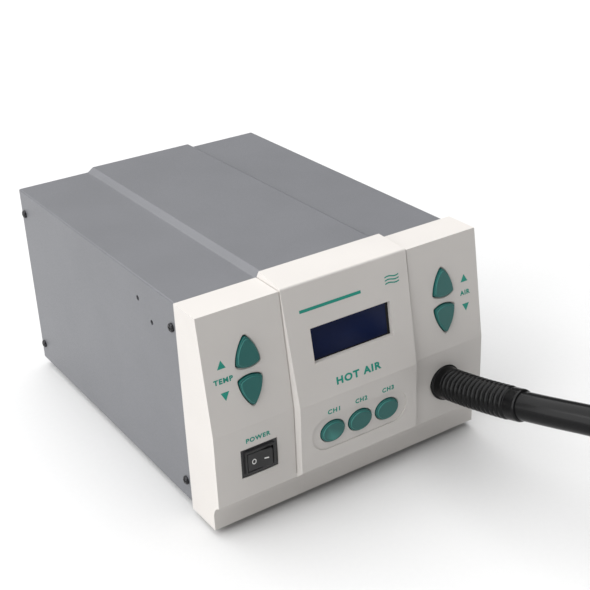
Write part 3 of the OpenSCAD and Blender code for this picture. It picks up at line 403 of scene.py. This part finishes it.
def printed_text(name, text, height, spot, turn, width, bold):
    """A generic function word as thin raised ink, of a height and width in mm; spot is its middle."""
    data = bpy.data.curves.new(name, "FONT")
    data.body = text
    data.size = height * MM / CAP_SHARE
    data.align_x = "CENTER"
    data.align_y = "CENTER"
    data.extrude = PRINT_T * MM
    data.offset = bold * MM
    data.resolution_u = 6
    data.space_character = 1.2
    holder = bpy.data.objects.new(name + "_curve", data)
    scene.collection.objects.link(holder)
    bpy.context.view_layer.update()
    mesh = bpy.data.meshes.new_from_object(holder.evaluated_get(bpy.context.evaluated_depsgraph_get()))
    xs = [v.co.x for v in mesh.vertices]
    ys = [v.co.y for v in mesh.vertices]
    sx = width * MM / (max(xs) - min(xs))
    sy = height * MM / (max(ys) - min(ys))
    middle = Vector(((max(xs) + min(xs)) / 2, (max(ys) + min(ys)) / 2, 0))
    mesh.transform(Matrix.Translation(spot) @ Matrix.Rotation(turn, 4, "X")
                   @ Matrix.Diagonal((sx, sy, 1, 1)) @ Matrix.Translation(-middle))
    mesh.materials.clear()
    bpy.data.objects.remove(holder)
    return place(mesh, name, "print_teal")


def plate(name, outline, at, material, thick=PRINT_T, body="root"):
    """A thin plate of an outline in mm, whose points at() puts on a face."""
    count = len(outline)
    points = [at(x, y, 0) for x, y in outline] + [at(x, y, thick) for x, y in outline]
    faces = [tuple(reversed(range(count))), tuple(range(count, 2 * count))]
    for i in range(count):
        j = (i + 1) % count
        faces.append((i, j, count + j, count + i))
    return mesh_piece(name, points, faces, material, body, smooth=False)


PANEL_CREASE = 3.53  # how far the raised panel stands out at the crease, at its top edge and at its foot
PANEL_TOP = 0.42
PANEL_FOOT = 3.0
PANEL_GROWS = 0.5  # from the foot up to the crease
PANEL_LEN = 69.5  # its length above the crease, and below
PANEL_LOWER_LEN = 42.9
PANEL_FOOT_H = 20.6
PANEL_TURN = FACE_TURN - math.atan((PANEL_CREASE - PANEL_TOP) / PANEL_LEN)
PANEL_LOWER_TURN = LOWER_TURN + math.atan(PANEL_GROWS / PANEL_LOWER_LEN)


def panel_face(x, y, out):
    """A point on the raised panel, which grows out from its top edge towards the crease."""
    return on_face(x, y, PANEL_CREASE + (PANEL_TOP - PANEL_CREASE) * y / PANEL_LEN + out)


def panel_lower(x, y, out):
    """A point on the raised panel's lower part, which stands out a little less at its foot."""
    return on_lower(x, y, PANEL_FOOT + PANEL_GROWS * (y - PANEL_FOOT_H) / PANEL_LOWER_LEN + out)


def triangle(x, y, half, tall):
    """An arrow head whose base is at x, y; it points down where tall is negative."""
    return [(x - half, y), (x + half, y), (x, y + tall)]


def rectangle(left, right, low, high):
    """Its corners, counterclockwise."""
    return [(left, low), (right, low), (right, high), (left, high)]


def wave(x_from, x_to, y, thick, height=0.45, count=16):
    """A short wavy band, the usual sign for moving air."""
    xs = [x_from + (x_to - x_from) * i / count for i in range(count + 1)]
    rise = [y + height * math.sin(2 * math.pi * i / count) for i in range(count + 1)]
    return list(zip(xs, rise)) + [(x, r + thick) for x, r in zip(reversed(xs), reversed(rise))]


def make_prints():
    """Each place is the middle of the word or the base of the mark: across, and above the case's underside."""
    for name, text, tall, x, z, wide in (("print_temp", "TEMP", 3.0, -82.9, 93.3, 11.8),
                                         ("print_air", "AIR", 3.0, 83.5, 94.0, 7.5)):
        printed_text(name, text, tall, on_face(x, up_face(z), PRINT_OUT), FACE_TURN, wide, bold=0.17)
    for name, x, z, tall in (("temp_up_mark", -82.95, 100, 4.8), ("temp_down_mark", -82.95, 86.7, -5.0),
                             ("air_up_mark", 83.4, 100.7, 4.6), ("air_down_mark", 83.4, 87.1, -4.7)):
        outline = triangle(x, up_face(z), 2.6, tall)
        if tall < 0:
            outline.reverse()
        plate(name, outline, on_face, "print_teal")
    printed_text("print_power", "POWER", 2.9, on_lower(-66.4, 54.1, PRINT_OUT), LOWER_TURN, 15.7, bold=0.16)
    for i, x in enumerate((-18.4, 0.7, 19.8), 1):
        printed_text(f"print_channel_{i}", f"CH{i}", 3.0, panel_lower(x, 54.4, PRINT_OUT), PANEL_LOWER_TURN, 8.4,
                     bold=0.16)
    printed_text("print_hot_air", "HOT AIR", 4.6, panel_face(0.4, up_face(71.0), PRINT_OUT), PANEL_TURN, 31,
                 bold=0.28)
    plate("print_strip", rectangle(-32.5, 8.5, up_face(115.4), up_face(117.2)), panel_face, "print_teal")
    for i in range(3):
        outline = wave(25.6, 35.4, up_face(115.2 + 1.9 * i), 0.75)
        plate(f"print_air_mark_{i + 1}", outline, panel_face, "print_teal")


make_prints()

# ---------------------------------------------------------------- display

DISPLAY_LEFT = -26.3
DISPLAY_RIGHT = 25.4
DISPLAY_MID = 32.6  # up the leaning face
DISPLAY_HALF = 9.4
WINDOW_OUT = -1.0  # the window's face is set back from the bezel's


def on_window(x, y, out):
    """A point of the display window, in mm like on_face."""
    return on_face(x, y, WINDOW_OUT + out)


display = rectangle(DISPLAY_LEFT, DISPLAY_RIGHT, DISPLAY_MID - DISPLAY_HALF, DISPLAY_MID + DISPLAY_HALF)
plate("display_area", display, on_window, "panel_blue", thick=0.08)

# ---------------------------------------------------------------- rocker marks

ROCKER_TILT = math.radians(-7)  # about its upright pin
ROCKER_PIVOT = on_lower(-66.3, 40.3, -3.4)
ROCKER_MID_OUT = 4.5  # from the pin to the face, at its middle
ROCKER_END_OUT = 0.9  # how much further it is, 7.5 mm to either side
ROCKER_HALF = 7.5


def on_rocker(x, y, out):
    """A point in mm off the rocker's face, which is a shallow V and stands tilted about its pin."""
    out += ROCKER_MID_OUT + ROCKER_END_OUT * abs(x) / ROCKER_HALF
    turned = Matrix.Rotation(ROCKER_TILT, 3, "Z") @ Vector((x * MM, -out * MM, y * MM))
    return ROCKER_PIVOT + turned


def ring(name, x, y, r_out, r_in, at, material, body, sides=32, narrow=0.8):
    """A thin upright oval ring on the face of at(), narrow times as wide as it is tall."""
    points = []
    for radius, out in ((r_out, 0), (r_out, PRINT_T), (r_in, PRINT_T), (r_in, 0)):
        for k in range(sides):
            turn = 2 * math.pi * k / sides
            points.append(at(x + narrow * radius * math.cos(turn), y + radius * math.sin(turn), out))
    faces = []
    for loop in range(4):
        for k in range(sides):
            m = (k + 1) % sides
            low, high = loop * sides, (loop + 1) % 4 * sides
            faces.append((low + k, low + m, high + m, high + k))
    return mesh_piece(name, points, faces, material, body, smooth=False)


ring("rocker_off_mark", -3.6, 0, 1.7, 1.15, on_rocker, "print_white", "rocker")
plate("rocker_on_mark", rectangle(2.6, 5.2, -0.35, 0.35), on_rocker, "print_white", body="rocker")

# ---------------------------------------------------------------- CAD nodes

EDGES = {  # mm of rounding on the edges of the nodes that are moulded or turned
    "front_bezel": 0.9, "temp_up_button": 0.7, "temp_down_button": 0.7, "air_up_button": 0.7,
    "air_down_button": 0.7, "channel_1_button": 0.6, "channel_2_button": 0.6, "channel_3_button": 0.6,
    "switch_housing": 0.4, "switch_rocker": 0.4, "inlet_socket": 0.5, "fuse_drawer": 0.4,
    "handle_body": 0.8, "handle_collar": 0.5, "handle_tail": 0.4, "rubber_feet": 0.5, "nozzle": 0.2,
    "display_window": 0.2,
}
# large flat sides meet at shallow angles, so these nodes keep sharp edges from a smaller angle up
FLAT_SIDED = {"front_bezel", "top_cover", "rear_panel", "base_chassis"}
WELD = 0.000002


def finish_nodes():
    """The record's material on each CAD node, rounded edges on the moulded ones and clean shading on all."""
    slots = {part["node"]: part["material_slot"] for part in frame["record"]["subparts"]}
    for name, node in NODES.items():
        flat_sided = name in FLAT_SIDED
        node.data.materials.clear()
        node.data.materials.append(MATERIALS[slots[name]])
        node.data.polygons.foreach_set("use_smooth", [True] * len(node.data.polygons))
        weld = node.modifiers.new("weld", "WELD")
        weld.merge_threshold = WELD
        if name in EDGES:
            flat = node.modifiers.new("flat", "DECIMATE")
            flat.decimate_type = "DISSOLVE"
            flat.angle_limit = math.radians(1)
            bevel = node.modifiers.new("edges", "BEVEL")
            bevel.width = EDGES[name] * MM
            bevel.segments = 6 if flat_sided else 3
            bevel.limit_method = "ANGLE"
            bevel.angle_limit = math.radians(28)
        split = node.modifiers.new("split", "EDGE_SPLIT")
        split.split_angle = math.radians(5 if flat_sided else 35)
        if name in EDGES or flat_sided:
            normals = node.modifiers.new("normals", "WEIGHTED_NORMAL")
            normals.keep_sharp = True
            normals.weight = 80


finish_nodes()

# ---------------------------------------------------------------- stage and light

FLOOR_HALF = 6  # metres
FLOOR_BELOW = 0.0002  # under the feet, so the two don't share a plane


def make_stage():
    """A white floor to the horizon, in even white light."""
    mesh = bpy.data.meshes.new("floor")
    corners = rectangle(-FLOOR_HALF, FLOOR_HALF, -FLOOR_HALF, FLOOR_HALF)
    mesh.from_pydata([(x, y, 0) for x, y in corners], [], [(0, 1, 2, 3)])
    floor = bpy.data.objects.new("floor", mesh)
    scene.collection.objects.link(floor)
    mesh.materials.append(MATERIALS["floor_paper"])
    floor.location.z = -FLOOR_BELOW
    world = bpy.data.worlds.new("world")
    world.use_nodes = True
    sky = world.node_tree.nodes["Background"]
    sky.inputs["Color"].default_value = (1, 1, 1, 1)
    sky.inputs["Strength"].default_value = 0.2
    scene.world = world


def sun(name, source, strength, spread):
    """Even, soft light that comes from the direction of source."""
    data = bpy.data.lights.new(name, "SUN")
    data.energy = strength
    data.angle = math.radians(spread)
    light = bpy.data.objects.new(name, data)
    light.rotation_euler = Vector(source).to_track_quat("Z", "Y").to_euler()
    scene.collection.objects.link(light)


make_stage()
sun("left_key", (-1, -0.02, 0.38), 2.3, 60)
sun("top_key", (-0.1, 0.3, 1), 3.8, 90)
scene.view_settings.view_transform = "Standard"
